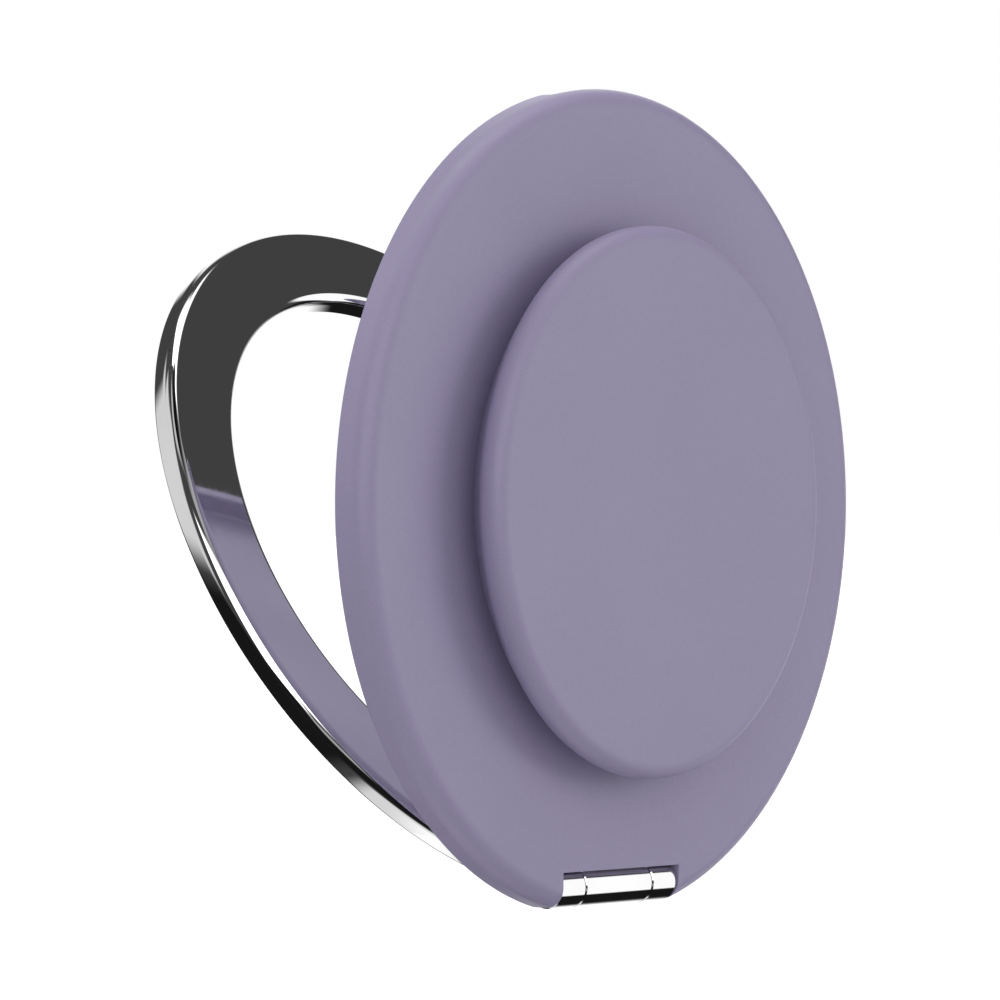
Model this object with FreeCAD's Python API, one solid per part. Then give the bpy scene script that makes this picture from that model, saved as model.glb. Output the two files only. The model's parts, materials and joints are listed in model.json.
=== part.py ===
import FreeCAD, Part
import math
import os

# Phone grip stand: a soft round grip plate with a low undercut knob, hinged at
# its lower edge to a polished ring that sits on the back of a phone. Sizes in mm.
# Modelling frame: X along the hinge, Y from the knob towards the phone, Z up,
# zero at the middle of the grip plate's front face.

# Grip plate (soft cover)
grip_radius = 30.0
front_round = 1.5
back_round = 0.2
lip_width = 1.3
floor_round = 0.3

# Knob on the front of the grip plate
knob_radius = 20.0
knob_height = 4.0
knob_round = 1.2
knob_undercut = 2.25

# Fingertip scallop at the top of the rim
scallop_drop = 0.65
scallop_flat = 1.0
scallop_runout = 0.4

# Stiffening plate inside the cover
plate_thick = 0.4
plate_skin = 0.65
plate_back_skin = 0.25
plate_edge_skin = 2.0
plate_slot_skin = 0.35
key_radius = 1.5
key_edge = 4.0
key_outer_count = 12
key_knob_inset = 4.75
key_inner_count = 8

# Hinge
barrel_radius = 1.5
barrel_half = 7.0
barrel_clear = 0.2
knuckle_half = 4.02
knuckle_gap = 0.12
knuckle_break = 0.08
hinge_inset = 0.2
hinge_behind = 0.16
slot_end_gap = 0.1
slot_lip = 0.33
hinge_clear = 0.3
hinge_side_wall = 0.3
pin_radius = 0.6
pin_running_gap = 0.03
pin_inset = 0.15
pin_chamfer = 0.12

# Ring on the phone
ring_width = 6.3
ring_side_gap = 0.75
ring_floor_gap = 0.2
ring_proud = 0.5
ring_front_round = 0.85
ring_bore_round = 0.75
ring_back_round = 0.2
ring_face_wall = 0.6

# Magnets and pad in the back of the ring
magnet_wall = 1.0
magnet_thick = 0.8
magnet_count = 16
magnet_gap = 0.4
magnet_fit = 0.05
pad_edge = 0.5
pad_thick = 0.5
pad_proud = 0.05

# Pose and travel: degrees between ring and grip plate
open_angle = 30.0
widest_angle = 55.0
stop_clear = 0.1

# How far a cut runs past the face that it opens
overrun = 1.0

# Depths, from the front face back: skin, plate, skin, gap, ring, magnets, pad
plate_front = plate_skin
plate_back = plate_front + plate_thick
floor_depth = plate_back + plate_back_skin
ring_front = floor_depth + ring_floor_gap
hinge_depth = ring_front + hinge_behind
magnet_front = ring_front + ring_face_wall
magnet_back = magnet_front + magnet_thick
pad_back = magnet_back + pad_thick
ring_back = pad_back - pad_proud
grip_depth = ring_back - ring_proud

# Radii, from the rim in: lip, gap, ring
recess_radius = grip_radius - lip_width
ring_radius = recess_radius - ring_side_gap
ring_bore_radius = ring_radius - ring_width
magnet_outer_radius = ring_radius - magnet_wall
magnet_inner_radius = ring_bore_radius + magnet_wall
plate_radius = grip_radius - plate_edge_skin
knob_foot_radius = knob_radius - knob_undercut
key_outer_circle = plate_radius - key_edge
key_inner_circle = knob_foot_radius - key_knob_inset

# Hinge line just inside the ring's lower edge, hinge slot and scallop
hinge_height = hinge_inset - ring_radius
hinge_half_angle = math.degrees(math.asin((barrel_half + hinge_side_wall) / ring_radius))
slot_half = barrel_half + slot_end_gap
slot_top = hinge_height + barrel_radius - slot_lip
trough_radius = barrel_radius + barrel_clear
outer_start = knuckle_half + knuckle_gap
scallop_z = grip_radius - scallop_drop
scallop_front = grip_depth - scallop_flat

V = FreeCAD.Vector
X_AXIS = V(1, 0, 0)
Y_AXIS = V(0, 1, 0)
HINGE = V(0, hinge_depth, hinge_height)


def arc_point(cx, cy, r, degrees):
    a = math.radians(degrees)
    return (cx + r * math.cos(a), cy + r * math.sin(a))


def wire_of(steps):
    """Closed wire in the plane of radius and depth; an entry is ('line', end) or ('arc', middle, end)."""
    start = steps[-1][-1]
    edges = []
    here = V(start[0], start[1], 0)
    for step in steps:
        end = V(step[-1][0], step[-1][1], 0)
        if step[0] == "line":
            edges.append(Part.LineSegment(here, end).toShape())
        else:
            middle = V(step[1][0], step[1][1], 0)
            edges.append(Part.Arc(here, middle, end).toShape())
        here = end
    return Part.Wire(edges)


def turned(steps, degrees=360.0):
    """Profile of radius and depth turned about the Y axis."""
    return Part.Face(wire_of(steps)).revolve(V(0, 0, 0), Y_AXIS, degrees)


def box(x0, x1, y0, y1, z0, z1):
    return Part.makeBox(x1 - x0, y1 - y0, z1 - z0, V(x0, y0, z0))


def rod(radius, x0, x1):
    """Cylinder on the hinge line."""
    return Part.makeCylinder(radius, x1 - x0, V(x0, hinge_depth, hinge_height), X_AXIS)


def knuckle(x0, x1):
    """Length of the hinge barrel with broken edges."""
    whole = rod(barrel_radius, x0, x1)
    ends = [e for e in whole.Edges if min(abs(e.CenterOfMass.x - x0), abs(e.CenterOfMass.x - x1)) < 1e-6]
    return whole.makeChamfer(knuckle_break, ends)


def band(inner, outer, front, back, half_gap):
    """Flat band about the Y axis, left open by half_gap degrees each side of the hinge."""
    steps = [
        ("line", (outer, front)),
        ("line", (outer, back)),
        ("line", (inner, back)),
        ("line", (inner, front)),
    ]
    whole = turned(steps, 360.0 - 2.0 * half_gap)
    # turning starts on +X and runs towards -Z, so bring its middle to the top
    whole.rotate(V(0, 0, 0), Y_AXIS, 90.0 + half_gap)
    return whole


def opened(shape, degrees):
    """Swing a ring piece away from the grip plate about the hinge."""
    moved = shape.copy()
    moved.rotate(HINGE, X_AXIS, -degrees)
    return moved


def knob_steps():
    """Front face, bullnose edge and the straight undercut down to the foot."""
    cx = knob_radius - knob_round
    cy = knob_round - knob_height
    dx = knob_foot_radius - cx
    dy = -cy
    reach = math.hypot(dx, dy)
    swing = math.degrees(math.acos(knob_round / reach))
    last = math.degrees(math.atan2(dy, dx)) - swing
    return [
        ("line", (cx, -knob_height)),
        ("arc", arc_point(cx, cy, knob_round, (last - 90.0) / 2.0), arc_point(cx, cy, knob_round, last)),
        ("line", (knob_foot_radius, 0.0)),
    ]


def flange_steps():
    """Front face, rounded rim, lip and the recess floor that takes the ring."""
    r = grip_radius
    d = grip_depth
    lip = recess_radius
    f = front_round
    b = back_round
    q = floor_round
    return [
        ("line", (r - f, 0.0)),
        ("arc", arc_point(r - f, f, f, -45.0), (r, f)),
        ("line", (r, d - b)),
        ("arc", arc_point(r - b, d - b, b, 45.0), (r - b, d)),
        ("line", (lip + b, d)),
        ("arc", arc_point(lip + b, d - b, b, 135.0), (lip, d - b)),
        ("line", (lip, floor_depth + q)),
        ("arc", arc_point(lip - q, floor_depth + q, q, -45.0), (lip - q, floor_depth)),
        ("line", (0.0, floor_depth)),
        ("line", (0.0, -knob_height)),
    ]


def scallop():
    """Flat at the back of the rim with a hollow corner at its front end."""
    wide = grip_radius / 2.0
    r = scallop_runout
    back = grip_depth + overrun
    top = grip_radius + overrun
    flat = box(-wide, wide, scallop_front, back, scallop_z, top)
    above = box(-wide, wide, scallop_front - r, back, scallop_z + r, top)
    corner = Part.makeCylinder(r, 2.0 * wide, V(-wide, scallop_front, scallop_z + r), X_AXIS)
    return flat.fuse([above, corner])


def plate_keys():
    """Holes through which the soft cover grips both sides of the plate."""
    holes = []
    for circle, count in ((key_outer_circle, key_outer_count), (key_inner_circle, key_inner_count)):
        for k in range(count):
            x, z = arc_point(0.0, 0.0, circle, 360.0 * (k + 0.5) / count)
            start = V(x, plate_front - overrun, z)
            holes.append(Part.makeCylinder(key_radius, plate_thick + 2.0 * overrun, start, Y_AXIS))
    return Part.makeCompound(holes)


def core_plate(bored=True):
    """Steel plate with the middle knuckle of the hinge on a short neck."""
    plate = Part.makeCylinder(plate_radius, plate_thick, V(0, plate_front, 0), Y_AXIS)
    edge = hinge_height + trough_radius + plate_slot_skin
    side = slot_half + plate_slot_skin
    plate = plate.cut(box(-side, side, plate_front - overrun, plate_back + overrun, -grip_radius, edge))
    plate = plate.cut(plate_keys())
    neck = box(-knuckle_half, knuckle_half, plate_front, plate_back, hinge_height, edge + overrun)
    plate = plate.fuse([neck, knuckle(-knuckle_half, knuckle_half)]).removeSplitter()
    if bored:
        plate = plate.cut(rod(pin_radius + pin_running_gap, -barrel_half, barrel_half))
    return plate


def stop_form():
    """Outline of the ring at its widest opening, which the rim beside the hinge clears."""
    start = V(0, ring_front - stop_clear, 0)
    reach = pad_back + overrun - start.y
    form = Part.makeCylinder(ring_radius + stop_clear, reach, start, Y_AXIS)
    return opened(form, widest_angle)


def grip_cover():
    """One soft moulding: knob, flange and rim, moulded round the plate."""
    body = turned(knob_steps() + flange_steps())
    slot = box(-slot_half, slot_half, -overrun, grip_depth + overrun, -grip_radius - overrun, slot_top)
    body = body.cut(slot.fuse(rod(trough_radius, -slot_half, slot_half)))
    body = body.cut(scallop())
    body = body.cut(stop_form())
    return body.cut(core_plate(bored=False))


def ring_steps():
    """Flat ring with soft polished edges towards the grip plate."""
    o = ring_radius
    i = ring_bore_radius
    f = ring_front
    b = ring_back
    q = ring_front_round
    p = ring_bore_round
    s = ring_back_round
    return [
        ("line", (o - q, f)),
        ("arc", arc_point(o - q, f + q, q, -45.0), (o, f + q)),
        ("line", (o, b - s)),
        ("arc", arc_point(o - s, b - s, s, 45.0), (o - s, b)),
        ("line", (i + s, b)),
        ("arc", arc_point(i + s, b - s, s, 135.0), (i, b - s)),
        ("line", (i, f + p)),
        ("arc", arc_point(i + p, f + p, p, 225.0), (i + p, f)),
    ]


def ring_frame():
    """Cast ring with a magnet channel behind and the two outer knuckles."""
    ring = turned(ring_steps())
    clear = barrel_radius + hinge_clear
    low = hinge_height - barrel_radius - overrun
    low_front = ring_front - barrel_radius - overrun
    mouth = box(-outer_start, outer_start, low_front, ring_back + overrun, low, hinge_height + clear)
    for sign in (-1, 1):
        x0 = min(sign * outer_start, sign * barrel_half)
        x1 = max(sign * outer_start, sign * barrel_half)
        lug = box(x0, x1, ring_front, hinge_depth + barrel_radius, hinge_height, hinge_height + clear)
        ring = ring.fuse([knuckle(x0, x1), lug])
    ring = ring.cut(mouth).removeSplitter()
    channel = band(magnet_inner_radius - magnet_fit, magnet_outer_radius + magnet_fit,
                   magnet_front, pad_back + overrun, hinge_half_angle)
    seat = band(ring_bore_radius + pad_edge, ring_radius - pad_edge,
                magnet_back, pad_back + overrun, hinge_half_angle)
    ring = ring.cut(channel.fuse(seat))
    return ring.cut(rod(pin_radius, -barrel_half - overrun, barrel_half + overrun))


def ring_magnets():
    """Row of flat magnet segments that fills the channel."""
    sweep = (360.0 - 2.0 * hinge_half_angle) / magnet_count
    middle = (magnet_inner_radius + magnet_outer_radius) / 2.0
    gap = math.degrees(magnet_gap / middle)
    steps = [
        ("line", (magnet_outer_radius, magnet_front)),
        ("line", (magnet_outer_radius, magnet_back)),
        ("line", (magnet_inner_radius, magnet_back)),
        ("line", (magnet_inner_radius, magnet_front)),
    ]
    pieces = []
    for k in range(magnet_count):
        piece = turned(steps, sweep - gap)
        piece.rotate(V(0, 0, 0), Y_AXIS, 90.0 + hinge_half_angle + k * sweep + gap / 2.0)
        pieces.append(piece)
    return Part.makeCompound(pieces)


def ring_pad():
    """Soft pad that closes the channel and lies on the phone."""
    return band(ring_bore_radius + pad_edge, ring_radius - pad_edge,
                magnet_back, pad_back, hinge_half_angle)


def hinge_pin():
    """Plain pin with broken ends, pressed into the outer knuckles."""
    end = barrel_half - pin_inset
    pin = rod(pin_radius, -end, end)
    ends = [e for e in pin.Edges if abs(abs(e.CenterOfMass.x) - end) < 1e-6]
    return pin.makeChamfer(pin_chamfer, ends)


def phone_face_centre():
    """Middle of the pad's outer face with the ring open: the part's origin."""
    point = Part.Vertex(0, pad_back, 0)
    return opened(point, open_angle).Point


def main():
    os.makedirs("parts", exist_ok=True)
    origin = phone_face_centre()
    pieces = {
        "grip_cover": grip_cover(),
        "core_plate": core_plate(),
        "ring_frame": opened(ring_frame(), open_angle),
        "ring_magnets": opened(ring_magnets(), open_angle),
        "ring_pad": opened(ring_pad(), open_angle),
        "hinge_pin": hinge_pin(),
    }
    for name, shape in pieces.items():
        shape.translate(-origin)
        shape.exportStep("parts/" + name + ".step")
        solids = len(shape.Solids)
        print(name, "solids", solids, "valid", shape.isValid(), "volume %.2f" % shape.Volume)
    print("origin in modelling frame", origin)


main()
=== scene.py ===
# %% [markdown]
# Phone grip stand
#
# A soft purple grip plate with a low knob is hinged to a polished ring. The exact
# solids come packed from the CAD model, in metres, and stay where they are. This
# lesson dresses them: it sets the camera, builds a small studio and makes one
# procedural finish for each material of the real object.

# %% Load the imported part
import json
import math
import bmesh
import bpy
from mathutils import Matrix, Vector


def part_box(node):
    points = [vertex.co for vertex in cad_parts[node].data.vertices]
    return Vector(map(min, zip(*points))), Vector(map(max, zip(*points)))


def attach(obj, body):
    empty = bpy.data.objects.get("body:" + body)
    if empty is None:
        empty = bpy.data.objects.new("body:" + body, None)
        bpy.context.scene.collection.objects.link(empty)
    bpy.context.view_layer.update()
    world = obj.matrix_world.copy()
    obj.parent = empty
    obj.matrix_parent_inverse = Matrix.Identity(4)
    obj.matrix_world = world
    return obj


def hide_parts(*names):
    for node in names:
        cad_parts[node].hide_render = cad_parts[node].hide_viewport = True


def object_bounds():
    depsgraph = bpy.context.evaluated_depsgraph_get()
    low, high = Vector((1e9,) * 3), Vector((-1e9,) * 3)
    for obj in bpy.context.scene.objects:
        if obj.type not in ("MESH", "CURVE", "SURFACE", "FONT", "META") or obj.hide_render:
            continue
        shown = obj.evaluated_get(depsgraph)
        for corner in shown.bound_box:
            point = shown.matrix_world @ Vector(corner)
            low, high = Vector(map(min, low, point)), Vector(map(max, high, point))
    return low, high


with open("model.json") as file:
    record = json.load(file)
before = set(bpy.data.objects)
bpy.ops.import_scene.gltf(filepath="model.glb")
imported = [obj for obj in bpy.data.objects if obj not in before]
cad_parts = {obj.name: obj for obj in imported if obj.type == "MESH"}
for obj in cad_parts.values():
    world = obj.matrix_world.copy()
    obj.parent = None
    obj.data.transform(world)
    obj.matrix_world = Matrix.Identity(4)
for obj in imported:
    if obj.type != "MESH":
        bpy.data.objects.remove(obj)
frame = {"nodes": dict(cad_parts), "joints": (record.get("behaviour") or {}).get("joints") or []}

nodes = frame["nodes"]
cad_low, cad_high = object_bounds()
print("pieces:", sorted(nodes))
print("box in mm:", [round(1000 * (b - a), 2) for a, b in zip(cad_low, cad_high)])

# %% [markdown]
# Where things are
#
# The frame says where the cover's box and the hinge line are. Two sizes of the plate are
# enough to find the middle of its front face from them, and everything else is placed
# from that point.

# %% Middle of the plate's front face
mm = 0.001
knob_height = 4.0 * mm
hinge_to_middle = 27.75 * mm

cover_low, cover_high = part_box("grip_cover")
hinge = Vector(frame["joints"][0]["pos_m"])
plate_middle = Vector((0, cover_low.y + knob_height, hinge.z + hinge_to_middle))
print("plate middle in mm:", [round(c / mm, 3) for c in plate_middle])

# %% [markdown]
# The camera
#
# The photograph was taken level with the part and from its left front, with a long
# lens. One could aim a camera by eye, but the outline of three circles (knob, plate
# and ring) fixes the view exactly, so the fitted numbers are used: the turn about the
# upright axis, the distance and the focal length in pixels of a 1000 pixel picture.

# %% Camera at the photograph's view
view_turn = math.radians(-52.95)
view_distance = 0.4926
slide_right = -0.008834
slide_up = 0.000166
focal_px = 6789.1
picture_px = 1000.0
sensor_mm = 36.0

up = Vector((0, 0, 1))
back = Vector((math.sin(view_turn), -math.cos(view_turn), 0))
right = up.cross(back)

camera_data = bpy.data.cameras.new("photo_camera")
camera_data.sensor_width = sensor_mm
camera_data.lens = sensor_mm * focal_px / picture_px
camera_data.clip_start = 0.01
camera_data.clip_end = 20.0
camera = bpy.data.objects.new("photo_camera", camera_data)
bpy.context.scene.collection.objects.link(camera)
eye = plate_middle + back * view_distance + right * slide_right + up * slide_up
turn = Matrix((right, up, back)).transposed().to_4x4()
camera.matrix_world = Matrix.Translation(eye) @ turn
bpy.context.scene.camera = camera
print("lens %.1f mm, eye at %s" % (camera_data.lens, [round(c, 4) for c in eye]))

# %% [markdown]
# The soft cover
#
# The cover is one silicone moulding: a round plate, a low knob with an undercut side and,
# behind, a lip with a recess for the folded ring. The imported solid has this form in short
# flats, which a matte edge in front of white shows. A subdivided cage would follow the
# form only roughly, so the profile is drawn again with lines and arcs and spun in fine
# steps, and the slot, the scallop and the room for the ring are cut out of it, as in the
# solid.

# %% Sizes of the cover's profile
cover_radius = cover_high.x
cover_depth = cover_high.y - plate_middle.y
front_round = 1.5 * mm
back_round = 0.2 * mm
lip_width = 1.3 * mm
floor_depth = 1.3 * mm
floor_round = 0.3 * mm
knob_radius = 20.0 * mm
knob_round = 1.2 * mm
knob_foot = 17.75 * mm

# the knob's edge rolls over until it runs straight to the foot
roll_radius = knob_radius - knob_round
roll_depth = knob_round - knob_height
foot_line = math.hypot(knob_foot - roll_radius, roll_depth)
foot_angle = math.atan2(-roll_depth, knob_foot - roll_radius)
roll = foot_angle - math.acos(knob_round / foot_line) + math.radians(90)
print("cover %.2f mm across, %.2f mm deep" % (2 * cover_radius / mm, cover_depth / mm))
print("the knob's edge rolls over %.1f degrees" % math.degrees(roll))


# %% A pen for profiles: straight stretches and arcs
def at(radius, depth):
    """Point of the profile, straight above the plate's axis."""
    return plate_middle + Vector((0, depth, radius))


def line_to(bm, tip, point):
    """Draw a straight stretch and return its end."""
    end = bmesh.ops.extrude_vert_indiv(bm, verts=[tip])["verts"][0]
    end.co = point
    return end


def arc_about(bm, tip, centre, angle, steps):
    """Draw an arc about a centre and return its end."""
    drawn = bmesh.ops.spin(bm, geom=[tip], cent=centre, axis=(1, 0, 0), angle=angle, steps=steps)
    return drawn["geom_last"][0]


def mesh_piece(name, bm):
    """Object at the origin from a finished bmesh."""
    mesh = bpy.data.meshes.new(name)
    bm.to_mesh(mesh)
    bm.free()
    piece = bpy.data.objects.new(name, mesh)
    bpy.context.scene.collection.objects.link(piece)
    return piece


# %% Draw the profile and spin it
quarter = math.radians(90)
lip_radius = cover_radius - lip_width
turn_steps = 256
roll_steps = 24
rim_steps = 20
corner_steps = 6
merge_distance = 0.0005 * mm

bm = bmesh.new()
tip = bm.verts.new(at(0, -knob_height))
tip = line_to(bm, tip, at(roll_radius, -knob_height))
tip = arc_about(bm, tip, at(roll_radius, roll_depth), -roll, roll_steps)
tip = line_to(bm, tip, at(knob_foot, 0))
tip = line_to(bm, tip, at(cover_radius - front_round, 0))
tip = arc_about(bm, tip, at(cover_radius - front_round, front_round), -quarter, rim_steps)
tip = line_to(bm, tip, at(cover_radius, cover_depth - back_round))
tip = arc_about(bm, tip, at(cover_radius - back_round, cover_depth - back_round), -quarter, corner_steps)
tip = line_to(bm, tip, at(lip_radius + back_round, cover_depth))
tip = arc_about(bm, tip, at(lip_radius + back_round, cover_depth - back_round), -quarter, corner_steps)
tip = line_to(bm, tip, at(lip_radius, floor_depth + floor_round))
tip = arc_about(bm, tip, at(lip_radius - floor_round, floor_depth + floor_round), quarter, corner_steps)
tip = line_to(bm, tip, at(0, floor_depth))
outline_points = len(bm.verts)
bmesh.ops.spin(bm, geom=bm.verts[:] + bm.edges[:], cent=plate_middle, axis=(0, 1, 0),
               angle=math.radians(360), steps=turn_steps, use_merge=True)
bmesh.ops.remove_doubles(bm, verts=bm.verts, dist=merge_distance)
bmesh.ops.recalc_face_normals(bm, faces=bm.faces)
cover = mesh_piece("soft_cover", bm)
print("profile of", outline_points, "points, spun to", len(cover.data.polygons), "faces")

# %% [markdown]
# The openings in the cover
#
# In the mould, steel cores keep these places free: the slot with its round trough for the
# hinge barrel, the fingertip scallop at the top, and the room that the ring needs when it
# swings wide open. Here each core is a shape of its own that is taken out of the cover,
# and the stiff plate, which the silicone flows round, is taken out in the same way.

# %% Take a core out of the cover
def combine(piece, other, operation):
    """Join a shape to a piece or cut it out, and delete the shape."""
    change = piece.modifiers.new("change", "BOOLEAN")
    change.operation = operation
    change.solver = "EXACT"
    change.object = other
    graph = bpy.context.evaluated_depsgraph_get()
    before = piece.data
    piece.data = bpy.data.meshes.new_from_object(piece.evaluated_get(graph))
    piece.modifiers.clear()
    bpy.data.meshes.remove(before)
    bpy.data.objects.remove(other)


def take_out(piece, core):
    """Cut a core's shape out of a piece."""
    combine(piece, core, "DIFFERENCE")


def block(low, high):
    """Core with flat sides, from its lowest to its highest corner."""
    bm = bmesh.new()
    size = Matrix.Diagonal(high - low).to_4x4()
    bmesh.ops.create_cube(bm, size=1.0, matrix=Matrix.Translation((low + high) / 2) @ size)
    return mesh_piece("core", bm)


def cylinder(radius, length, place, steps):
    """Round core about its own Z axis, put in place."""
    bm = bmesh.new()
    bmesh.ops.create_cone(bm, cap_ends=True, segments=steps, radius1=radius, radius2=radius,
                          depth=length, matrix=place)
    return mesh_piece("core", bm)


# %% Slot and trough of the hinge
barrel_radius = 1.5 * mm
barrel_room = 0.2 * mm
slot_half = 7.1 * mm
slot_lip = 0.33 * mm
past = 1.0 * mm
trough_steps = 96

slot_top = hinge.z + barrel_radius - slot_lip
slot_low = Vector((-slot_half, plate_middle.y - past, cover_low.z - past))
slot_high = Vector((slot_half, cover_high.y + past, slot_top))
take_out(cover, block(slot_low, slot_high))
along_hinge = Matrix.Translation(hinge) @ Matrix.Rotation(quarter, 4, "Y")
take_out(cover, cylinder(barrel_radius + barrel_room, 2 * slot_half, along_hinge, trough_steps))
print("slot %.1f mm wide" % (2 * slot_half / mm))

# %% Fingertip scallop
scallop_drop = 0.65 * mm
scallop_flat = 1.0 * mm
scallop_runout = 0.4 * mm
runout_steps = 10

flat_z = plate_middle.z + cover_radius - scallop_drop
flat_front = cover_high.y - scallop_flat
side = cover_radius / 2
bm = bmesh.new()
first = bm.verts.new((-side, cover_high.y + past, flat_z))
tip = line_to(bm, first, (-side, flat_front, flat_z))
tip = arc_about(bm, tip, (-side, flat_front, flat_z + scallop_runout), -quarter, runout_steps)
tip = line_to(bm, tip, (-side, flat_front - scallop_runout, flat_z + past))
tip = line_to(bm, tip, (-side, cover_high.y + past, flat_z + past))
bm.edges.new((tip, first))
face = bmesh.ops.contextual_create(bm, geom=bm.edges[:])["faces"]
swept = bmesh.ops.extrude_face_region(bm, geom=face)["geom"]
swept = [v for v in swept if isinstance(v, bmesh.types.BMVert)]
bmesh.ops.translate(bm, vec=(2 * side, 0, 0), verts=swept)
bmesh.ops.recalc_face_normals(bm, faces=bm.faces)
take_out(cover, mesh_piece("core", bm))
print("scallop flat at %.2f mm above the middle" % ((flat_z - plate_middle.z) / mm))

# %% Room for the wide open ring
ring_radius = 27.95 * mm
ring_front = -0.16 * mm
widest_angle = math.radians(55)
stop_room = 0.1 * mm
core_length = 3.0 * mm

swung = Matrix.Translation(hinge) @ Matrix.Rotation(-widest_angle, 4, "X")
to_ring = Matrix.Translation((0, ring_front - stop_room + core_length / 2, hinge_to_middle))
upright = Matrix.Rotation(quarter, 4, "X")
take_out(cover, cylinder(ring_radius + stop_room, core_length, swung @ to_ring @ upright, turn_steps))
print("the ring may open to", round(math.degrees(widest_angle)), "degrees")

# %% The stiff plate inside
bm = bmesh.new()
bm.from_mesh(nodes["core_plate"].data)
bmesh.ops.remove_doubles(bm, verts=bm.verts, dist=merge_distance)
take_out(cover, mesh_piece("core", bm))
print("cover has", len(cover.data.polygons), "faces after the cuts")

# %% Smooth rounds, crisp edges
crisp_angle = math.radians(28)


def smooth_rounds(piece):
    """Shade rounds smoothly, keep cut edges crisp and flats even."""
    piece.data.shade_smooth()
    piece.data.set_sharp_from_angle(angle=crisp_angle)
    even = piece.modifiers.new("even_shading", "WEIGHTED_NORMAL")
    even.keep_sharp = True


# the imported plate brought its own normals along; the cover gets new ones
cover.data.attributes.remove(cover.data.attributes["custom_normal"])
smooth_rounds(cover)
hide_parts("grip_cover")
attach(cover, "grip")

# %% [markdown]
# The polished ring
#
# The ring is cast in one piece with the two outer knuckles of the hinge, then ground and
# polished until its edges are soft. A mirror shows every flat of a coarse mesh, so the
# ring is also drawn again: its section is spun in fine steps, the knuckles and their lugs
# are joined to it, and the mouth for the middle knuckle, the channel for the magnets, the
# seat of the pad and the bore of the pin are taken out. It is made folded flat against
# the plate, as the sizes are given, and swung open at the end.

# %% Sizes of the ring
ring_bore = 21.65 * mm
ring_thick = 1.85 * mm
ring_front_round = 0.85 * mm
ring_bore_round = 0.75 * mm
ring_back_round = 0.2 * mm
knuckle_end = 7.0 * mm
knuckle_start = 4.14 * mm
knuckle_break = 0.08 * mm
mouth_room = 0.3 * mm
lug_wall = 0.3 * mm
pin_radius = 0.6 * mm
face_wall = 0.6 * mm
magnet_thick = 0.8 * mm
channel_wall = 0.95 * mm
seat_wall = 0.5 * mm
open_angle = math.radians(30)
edge_steps = 20
back_steps = 8
barrel_steps = 128
bore_steps = 64

folded_front = hinge.y + ring_front
hinge_gap = math.asin((knuckle_end + lug_wall) / ring_radius)
print("ring %.1f mm across, %.2f mm thick" % (2 * ring_radius / mm, ring_thick / mm))


# %% Draw the section and spin it
def on_ring(radius, depth):
    """Point of the folded ring's section, straight above the plate's axis."""
    return Vector((0, folded_front + depth, plate_middle.z + radius))


bm = bmesh.new()
first = bm.verts.new(on_ring(ring_radius - ring_front_round, 0))
tip = arc_about(bm, first, on_ring(ring_radius - ring_front_round, ring_front_round), -quarter, edge_steps)
tip = line_to(bm, tip, on_ring(ring_radius, ring_thick - ring_back_round))
tip = arc_about(bm, tip, on_ring(ring_radius - ring_back_round, ring_thick - ring_back_round),
                -quarter, back_steps)
tip = line_to(bm, tip, on_ring(ring_bore + ring_back_round, ring_thick))
tip = arc_about(bm, tip, on_ring(ring_bore + ring_back_round, ring_thick - ring_back_round),
                -quarter, back_steps)
tip = line_to(bm, tip, on_ring(ring_bore, ring_bore_round))
tip = arc_about(bm, tip, on_ring(ring_bore + ring_bore_round, ring_bore_round), -quarter, edge_steps)
bm.edges.new((tip, first))
bmesh.ops.spin(bm, geom=bm.verts[:] + bm.edges[:], cent=plate_middle, axis=(0, 1, 0),
               angle=math.radians(360), steps=2 * turn_steps, use_merge=True)
bmesh.ops.remove_doubles(bm, verts=bm.verts, dist=merge_distance)
bmesh.ops.recalc_face_normals(bm, faces=bm.faces)
ring = mesh_piece("polished_ring", bm)
print("ring spun to", len(ring.data.polygons), "faces")


# %% Join the outer knuckles and their lugs
def join_on(piece, other):
    """Make a piece and another shape one body."""
    combine(piece, other, "UNION")


def knuckle(x0, x1):
    """Length of the hinge barrel with broken end edges."""
    bm = bmesh.new()
    place = Matrix.Translation(((x0 + x1) / 2, 0, 0)) @ along_hinge
    bmesh.ops.create_cone(bm, cap_ends=True, segments=barrel_steps, radius1=barrel_radius,
                          radius2=barrel_radius, depth=x1 - x0, matrix=place)
    ends = [e for e in bm.edges if abs(e.verts[0].co.x - e.verts[1].co.x) < merge_distance]
    bmesh.ops.bevel(bm, geom=ends, offset=knuckle_break, affect="EDGES", segments=1, profile=0.5,
                    material=-1)
    return mesh_piece("knuckle", bm)


lug_top = hinge.z + barrel_radius + mouth_room
for x0, x1 in ((-knuckle_end, -knuckle_start), (knuckle_start, knuckle_end)):
    lug_low = Vector((x0, folded_front, hinge.z))
    join_on(ring, block(lug_low, Vector((x1, hinge.y + barrel_radius, lug_top))))
    join_on(ring, knuckle(x0, x1))
print("ring with knuckles has", len(ring.data.polygons), "faces")


# %% Take out mouth, channel, seat and bore
def arc_core(inner, outer, front, back):
    """Core that follows the ring's back and stops each side of the hinge."""
    bm = bmesh.new()
    corners = [on_ring(inner, front), on_ring(outer, front), on_ring(outer, back), on_ring(inner, back)]
    bm.faces.new([bm.verts.new(c) for c in corners])
    half_way = math.radians(180) - hinge_gap
    bmesh.ops.rotate(bm, verts=bm.verts, cent=plate_middle, matrix=Matrix.Rotation(-half_way, 3, "Y"))
    bmesh.ops.spin(bm, geom=bm.verts[:] + bm.edges[:] + bm.faces[:], cent=plate_middle, axis=(0, 1, 0),
                   angle=2 * half_way, steps=turn_steps)
    bmesh.ops.recalc_face_normals(bm, faces=bm.faces)
    return mesh_piece("core", bm)


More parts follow.
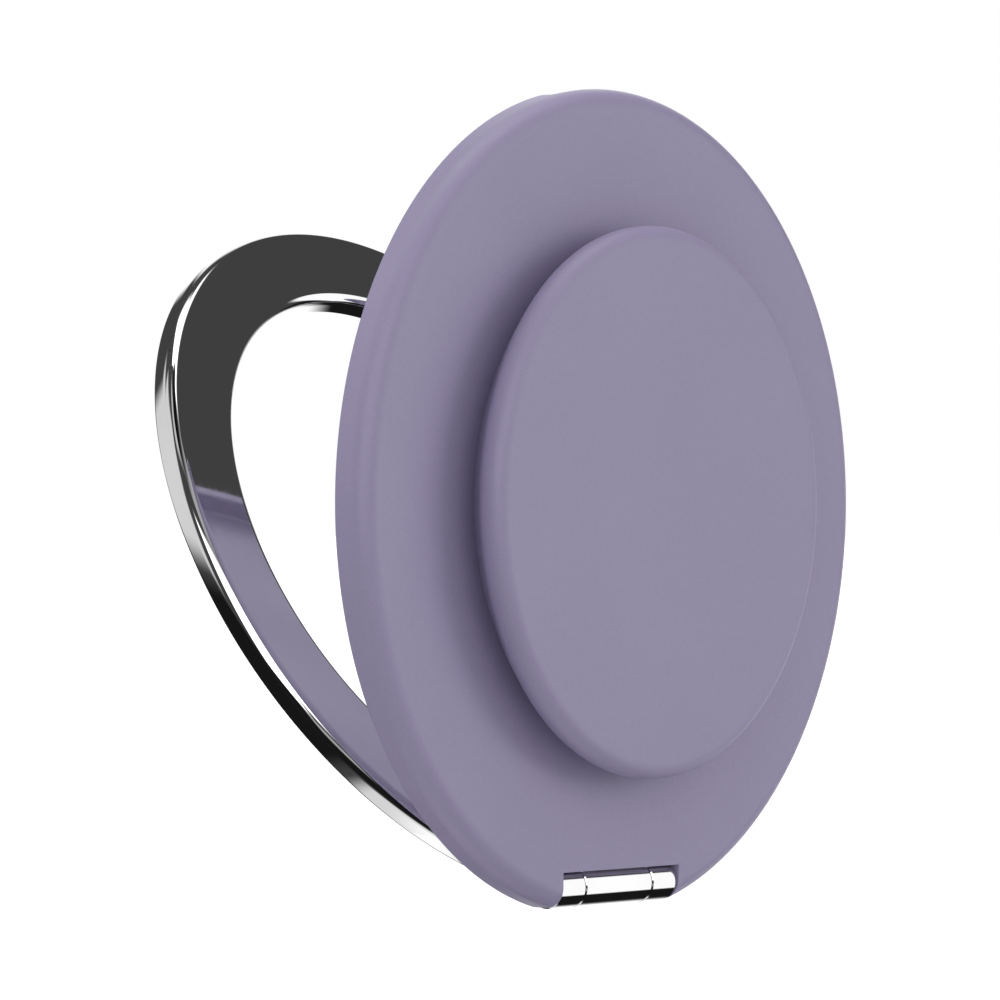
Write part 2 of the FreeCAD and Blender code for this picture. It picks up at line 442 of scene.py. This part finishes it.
behind = ring_thick + past
mouth_low = Vector((-knuckle_start, hinge.y - barrel_radius - past, hinge.z - barrel_radius - past))
take_out(ring, block(mouth_low, Vector((knuckle_start, folded_front + behind, lug_top))))
take_out(ring, arc_core(ring_bore + channel_wall, ring_radius - channel_wall, face_wall, behind))
take_out(ring, arc_core(ring_bore + seat_wall, ring_radius - seat_wall, face_wall + magnet_thick, behind))
take_out(ring, cylinder(pin_radius, 2 * (knuckle_end + past), along_hinge, bore_steps))
print("ring has", len(ring.data.polygons), "faces after the cuts")

# %% Swing it open and smooth it
swing = Matrix.Translation(hinge) @ Matrix.Rotation(-open_angle, 4, "X") @ Matrix.Translation(-hinge)
ring.data.transform(swing)
smooth_rounds(ring)
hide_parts("ring_frame")
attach(ring, "ring")

# %% [markdown]
# The floor
#
# A phone holds this part in use, so it does not stand on anything. The pale floor
# lies a little below it and only catches a soft shadow. The floor shows itself to the
# camera a little brighter than its paint, so that it meets the white background
# without a line.

# %% Pale floor
floor_drop = 0.015
floor_half = 6.0
floor_grey = 0.64
floor_glow = 0.45

floor_z = cad_low.z - floor_drop
bm = bmesh.new()
bmesh.ops.create_grid(bm, x_segments=1, y_segments=1, size=floor_half,
                      matrix=Matrix.Translation((0, 0, floor_z)))
floor = mesh_piece("floor", bm)
floor.visible_glossy = False
print("floor at z = %.4f m, %.1f m wide" % (floor_z, floor.dimensions.x))

# %% Floor paint
floor_paint = bpy.data.materials.new("floor_paint")
floor_paint.use_nodes = True
floor_tree = floor_paint.node_tree
shader = floor_tree.nodes["Principled BSDF"]
shader.inputs["Base Color"].default_value = (floor_grey, floor_grey, floor_grey, 1)
shader.inputs["Roughness"].default_value = 0.9
shader.inputs["Emission Color"].default_value = (1, 1, 1, 1)
path = floor_tree.nodes.new("ShaderNodeLightPath")
glow_share = floor_tree.nodes.new("ShaderNodeMath")
glow_share.operation = "MULTIPLY"
glow_share.inputs[1].default_value = floor_glow
floor_tree.links.new(path.outputs["Is Camera Ray"], glow_share.inputs[0])
floor_tree.links.new(glow_share.outputs[0], shader.inputs["Emission Strength"])
floor.data.materials.append(floor_paint)
print(floor_paint.name, "ready")

# %% [markdown]
# The studio
#
# Matte silicone wants soft light from everywhere, while polished metal wants something
# to mirror: bright panels with dark gaps between them. Real studios hang white and
# black cards for this. Here the cards are painted into the world by direction, as
# soft-edged windows of azimuth and elevation, and only mirror-like rays see them.

# %% A soft-edged window of directions
def studio_card_group():
    """Node group: 1 inside a window of azimuth and elevation, 0 outside, in degrees."""
    group = bpy.data.node_groups.new("studio_card", "ShaderNodeTree")
    face = group.interface
    for name in ("Azimuth", "Elevation", "Middle", "Half Width", "Low", "High", "Softness"):
        face.new_socket(name, in_out="INPUT", socket_type="NodeSocketFloat")
    face.new_socket("Mask", in_out="OUTPUT", socket_type="NodeSocketFloat")
    new, link = group.nodes.new, group.links.new
    given = new("NodeGroupInput")
    put = new("NodeGroupOutput")

    def math_node(operation, first, second=None):
        node = new("ShaderNodeMath")
        node.operation = operation
        link(first, node.inputs[0])
        if second is not None:
            link(second, node.inputs[1])
        return node.outputs[0]

    def ramp(value, edge, rising):
        """0 to 1 across an edge, as wide as the softness on each side."""
        node = new("ShaderNodeMapRange")
        node.interpolation_type = "SMOOTHSTEP"
        below = math_node("SUBTRACT", edge, given.outputs["Softness"])
        above = math_node("ADD", edge, given.outputs["Softness"])
        link(value, node.inputs["Value"])
        link(below, node.inputs["From Min"])
        link(above, node.inputs["From Max"])
        node.inputs["To Min"].default_value = 0.0 if rising else 1.0
        node.inputs["To Max"].default_value = 1.0 if rising else 0.0
        return node.outputs["Result"]

    away = math_node("SUBTRACT", given.outputs["Azimuth"], given.outputs["Middle"])
    wrap = new("ShaderNodeMath")
    wrap.operation = "WRAP"
    wrap.inputs[1].default_value = 180.0
    wrap.inputs[2].default_value = -180.0
    link(away, wrap.inputs[0])
    beside = ramp(math_node("ABSOLUTE", wrap.outputs[0]), given.outputs["Half Width"], False)
    over = ramp(given.outputs["Elevation"], given.outputs["Low"], True)
    under = ramp(given.outputs["Elevation"], given.outputs["High"], False)
    mask = math_node("MULTIPLY", math_node("MULTIPLY", beside, over), under)
    link(mask, put.inputs["Mask"])
    return group


card_group = studio_card_group()
print("window group has", len(card_group.nodes), "nodes")

# %% What the metal mirrors
# name: middle azimuth, half width, lowest and highest elevation, softness, brightness;
# a later card covers an earlier one
cards = {
    "dark_floor": (0, 181, -58, -6, 4, 0.009),
    "bright_ground": (0, 181, -95, -66, 4, 0.73),
    "ground_middle": (0, 181, -95, -82, 8, 1.10),
    "far_ground": (35, 70, -95, -74, 8, 1.10),
    "back_left_wall": (131, 35, 1, 46, 5, 0.69),
    "back_left_upper": (144, 26, 42, 66, 4, 0.69),
    "back_right_box": (36.5, 17.5, 0, 48, 5, 1.08),
    "back_right_low": (27, 31, -28, 4, 7, 1.08),
    "front_right_box": (-47, 20.5, -27, 24.5, 1.5, 1.08),
    "front_left_box": (-147, 16, -7, 44, 3, 2.2),
    "front_left_end": (-118, 14, 5, 44, 6, 2.2),
    "front_left_low": (-126, 14, -20, -8, 4, 0.40),
    "front_top_card": (-85, 30, 48, 60, 4, 0.40),
    "top_box": (-24, 27, 57, 95, 4, 1.95),
    "top_box_far": (10, 58, 69, 95, 4, 1.95),
    "top_left_card": (-140, 24, 65, 86, 4, 0.60),
    "front_top_gap": (-85, 42, 65, 78, 3, 0.004),
}
gap_brightness = 0.053

# %% What matte surfaces are lit by
# an even room, brighter overhead, and these windows added to it
room_light, overhead_light = 0.50, 1.00
soft_boxes = {
    "key_box": (-55, 14, -25, 25, 4, 3.5),
    "front_left_soft": (-134, 29, -7, 44, 4, 0.30),
    "left_fill": (180, 30, -20, 50, 8, 0.20),
    "back_left_fill": (135, 30, -5, 60, 8, 0.10),
    "back_top_box": (90, 80, 55, 88, 6, 3.2),
}

# %% Directions in degrees
world = bpy.data.worlds.new("studio")
world.use_nodes = True
bpy.context.scene.world = world
tree = world.node_tree
tree.nodes.clear()
new, link = tree.nodes.new, tree.links.new

direction = new("ShaderNodeTexCoord")
parts = new("ShaderNodeSeparateXYZ")
link(direction.outputs["Generated"], parts.inputs[0])


def degrees_of(operation, *values):
    """An angle from the direction's parts, in degrees."""
    node = new("ShaderNodeMath")
    node.operation = operation
    for socket, value in zip(node.inputs, values):
        link(value, socket)
    scale = new("ShaderNodeMath")
    scale.operation = "DEGREES"
    link(node.outputs[0], scale.inputs[0])
    return scale.outputs[0]


azimuth = degrees_of("ARCTAN2", parts.outputs["Y"], parts.outputs["X"])
elevation = degrees_of("ARCSINE", parts.outputs["Z"])


def window_mask(name, window):
    """Mask of one window of directions."""
    card = new("ShaderNodeGroup")
    card.node_tree = card_group
    card.name = name
    link(azimuth, card.inputs["Azimuth"])
    link(elevation, card.inputs["Elevation"])
    for socket, value in zip(("Middle", "Half Width", "Low", "High", "Softness"), window):
        card.inputs[socket].default_value = value
    return card.outputs["Mask"]


# %% Hang the cards for the metal
gap = new("ShaderNodeValue")
gap.outputs[0].default_value = gap_brightness
mirrored = gap.outputs[0]
for name, (*window, bright) in cards.items():
    lay = new("ShaderNodeMix")
    link(window_mask(name, window), lay.inputs["Factor"])
    link(mirrored, lay.inputs["A"])
    lay.inputs["B"].default_value = bright
    mirrored = lay.outputs["Result"]
print("studio has", len(cards), "cards")

# %% Set up the soft light
soft_sky = new("ShaderNodeMapRange")
soft_sky.inputs["To Min"].default_value = room_light
soft_sky.inputs["To Max"].default_value = overhead_light
link(parts.outputs["Z"], soft_sky.inputs["Value"])
soft_light = soft_sky.outputs["Result"]
for name, (*window, bright) in soft_boxes.items():
    add = new("ShaderNodeMath")
    add.operation = "MULTIPLY_ADD"
    link(window_mask(name, window), add.inputs[0])
    add.inputs[1].default_value = bright
    link(soft_light, add.inputs[2])
    soft_light = add.outputs[0]
print("soft light has", len(soft_boxes), "boxes")

# %% What each kind of ray sees
rays = new("ShaderNodeLightPath")
for_mirror = new("ShaderNodeMix")
link(rays.outputs["Is Glossy Ray"], for_mirror.inputs["Factor"])
link(soft_light, for_mirror.inputs["A"])
link(mirrored, for_mirror.inputs["B"])
for_camera = new("ShaderNodeMix")
link(rays.outputs["Is Camera Ray"], for_camera.inputs["Factor"])
link(for_mirror.outputs["Result"], for_camera.inputs["A"])
for_camera.inputs["B"].default_value = 1.0
background = new("ShaderNodeBackground")
link(for_camera.outputs["Result"], background.inputs["Color"])
link(background.outputs[0], new("ShaderNodeOutputWorld").inputs["Surface"])
bpy.context.scene.view_settings.view_transform = "Standard"
print("world built with", len(tree.nodes), "nodes")

# %% [markdown]
# Fine grain
#
# Every surface has something fine on it: silicone a moulded matte grain, rubber a
# coarser one, polished metal a faint unevenness of the polish. One group makes such a
# grain from noise in the part's own coordinates, so it keeps its size in millimetres,
# and each finish places it with its own values.

# %% The grain group
def grain_group():
    """Node group: fine grain and a broad drift, both about 0.5, from Object coordinates."""
    group = bpy.data.node_groups.new("fine_grain", "ShaderNodeTree")
    face = group.interface
    for name, value in (("Grain mm", 0.2), ("Drift mm", 12.0)):
        socket = face.new_socket(name, in_out="INPUT", socket_type="NodeSocketFloat")
        socket.default_value = value
    for name in ("Grain", "Drift"):
        face.new_socket(name, in_out="OUTPUT", socket_type="NodeSocketFloat")
    new, link = group.nodes.new, group.links.new
    given = new("NodeGroupInput")
    put = new("NodeGroupOutput")
    place = new("ShaderNodeTexCoord")
    for size, result, detail in (("Grain mm", "Grain", 2.0), ("Drift mm", "Drift", 1.0)):
        per_metre = new("ShaderNodeMath")
        per_metre.operation = "DIVIDE"
        per_metre.inputs[0].default_value = 1000.0
        link(given.outputs[size], per_metre.inputs[1])
        noise = new("ShaderNodeTexNoise")
        noise.inputs["Detail"].default_value = detail
        link(place.outputs["Object"], noise.inputs["Vector"])
        link(per_metre.outputs[0], noise.inputs["Scale"])
        link(noise.outputs["Fac"], put.inputs[result])
    return group


grain = grain_group()
print("grain group has", len(grain.nodes), "nodes")


# %% A helper that starts a finish
def finish_with_grain(name, grain_mm, drift_mm):
    """Material with a grain group placed; returns it with its tree, shader and grain node."""
    made = bpy.data.materials.new(name)
    made.use_nodes = True
    tree = made.node_tree
    shader = tree.nodes["Principled BSDF"]
    node = tree.nodes.new("ShaderNodeGroup")
    node.node_tree = grain
    node.inputs["Grain mm"].default_value = grain_mm
    node.inputs["Drift mm"].default_value = drift_mm
    return made, tree, shader, node


# noise keeps mostly between these two values
noise_low, noise_high = 0.3, 0.7


def ramp_value(tree, value, low, high):
    """The grain's value spread between two numbers."""
    node = tree.nodes.new("ShaderNodeMapRange")
    node.inputs["From Min"].default_value = noise_low
    node.inputs["From Max"].default_value = noise_high
    node.inputs["To Min"].default_value = low
    node.inputs["To Max"].default_value = high
    tree.links.new(value, node.inputs["Value"])
    return node.outputs["Result"]


def ramp_colour(tree, value, dark, light):
    """The grain's value spread between two colours."""
    node = tree.nodes.new("ShaderNodeMix")
    node.data_type = "RGBA"
    tree.links.new(ramp_value(tree, value, 0.0, 1.0), node.inputs["Factor"])
    node.inputs["A"].default_value = (*dark, 1)
    node.inputs["B"].default_value = (*light, 1)
    return node.outputs["Result"]


def bump(tree, shader, value, strength, depth_mm):
    """Height from the grain, in millimetres, on the shader's normal."""
    node = tree.nodes.new("ShaderNodeBump")
    node.inputs["Strength"].default_value = strength
    node.inputs["Distance"].default_value = depth_mm * mm
    tree.links.new(value, node.inputs["Height"])
    tree.links.new(node.outputs["Normal"], shader.inputs["Normal"])


# %% [markdown]
# Soft purple silicone
#
# The cover is one silicone moulding with a dull, slightly dusty purple. Its mould was
# fine-blasted, so the surface is matte with a grain that is only just visible.

# %% Silicone
silicone, tree, shader, node = finish_with_grain("soft_purple_silicone", 0.16, 9.0)
mottle = ramp_colour(tree, node.outputs["Grain"], (0.250, 0.220, 0.340), (0.268, 0.236, 0.364))
tree.links.new(mottle, shader.inputs["Base Color"])
tree.links.new(ramp_value(tree, node.outputs["Drift"], 0.37, 0.44), shader.inputs["Roughness"])
bump(tree, shader, node.outputs["Grain"], 0.25, 0.02)
shader.inputs["IOR"].default_value = 1.43
print(silicone.name, "ready")

# %% [markdown]
# Polished metal
#
# Ring and knuckles are cast, polished and plated. The plating mirrors the studio; only a
# faint drift of the roughness shows that it was polished by hand.

# %% Polished plating
chrome, tree, shader, node = finish_with_grain("polished_plating", 0.4, 7.0)
tint = ramp_colour(tree, node.outputs["Drift"], (0.88, 0.88, 0.89), (0.92, 0.92, 0.925))
tree.links.new(tint, shader.inputs["Base Color"])
tree.links.new(ramp_value(tree, node.outputs["Grain"], 0.02, 0.045), shader.inputs["Roughness"])
shader.inputs["Metallic"].default_value = 1.0
print(chrome.name, "ready")

# %% [markdown]
# Pad, magnets and pin
#
# These sit behind or inside the ring. The pad is a dark soft rubber that keeps the phone
# from scratches, the magnets are nickel plated and the pin is ground steel.

# %% Dark rubber
rubber, tree, shader, node = finish_with_grain("dark_rubber", 0.3, 10.0)
shade = ramp_colour(tree, node.outputs["Grain"], (0.020, 0.020, 0.023), (0.034, 0.034, 0.038))
tree.links.new(shade, shader.inputs["Base Color"])
tree.links.new(ramp_value(tree, node.outputs["Drift"], 0.6, 0.75), shader.inputs["Roughness"])
bump(tree, shader, node.outputs["Grain"], 0.4, 0.03)
print(rubber.name, "ready")

# %% Nickel and ground steel
nickel, tree, shader, node = finish_with_grain("nickel_plate", 0.25, 6.0)
tone = ramp_colour(tree, node.outputs["Drift"], (0.58, 0.57, 0.54), (0.64, 0.63, 0.60))
tree.links.new(tone, shader.inputs["Base Color"])
tree.links.new(ramp_value(tree, node.outputs["Grain"], 0.25, 0.40), shader.inputs["Roughness"])
shader.inputs["Metallic"].default_value = 1.0

ground_steel, tree, shader, node = finish_with_grain("ground_steel", 0.12, 4.0)
tone = ramp_colour(tree, node.outputs["Drift"], (0.58, 0.58, 0.59), (0.66, 0.66, 0.67))
tree.links.new(tone, shader.inputs["Base Color"])
tree.links.new(ramp_value(tree, node.outputs["Grain"], 0.18, 0.32), shader.inputs["Roughness"])
shader.inputs["Metallic"].default_value = 1.0
print(nickel.name, "and", ground_steel.name, "ready")

# %% [markdown]
# Who wears what
#
# Every piece gets one finish. The hinge barrel shows two pieces, the ring's outer knuckles
# and the plate's middle one, so both wear the same plating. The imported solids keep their
# meshes, and only their materials change.

# %% Dress the solids
finishes = {
    "core_plate": chrome,
    "ring_magnets": nickel,
    "ring_pad": rubber,
    "hinge_pin": ground_steel,
}
for name, finish in finishes.items():
    nodes[name].data.materials.clear()
    nodes[name].data.materials.append(finish)
for piece, finish in ((cover, silicone), (ring, chrome)):
    piece.data.materials.clear()
    piece.data.materials.append(finish)
print("dressed", len(finishes), "solids, the cover and the ring")
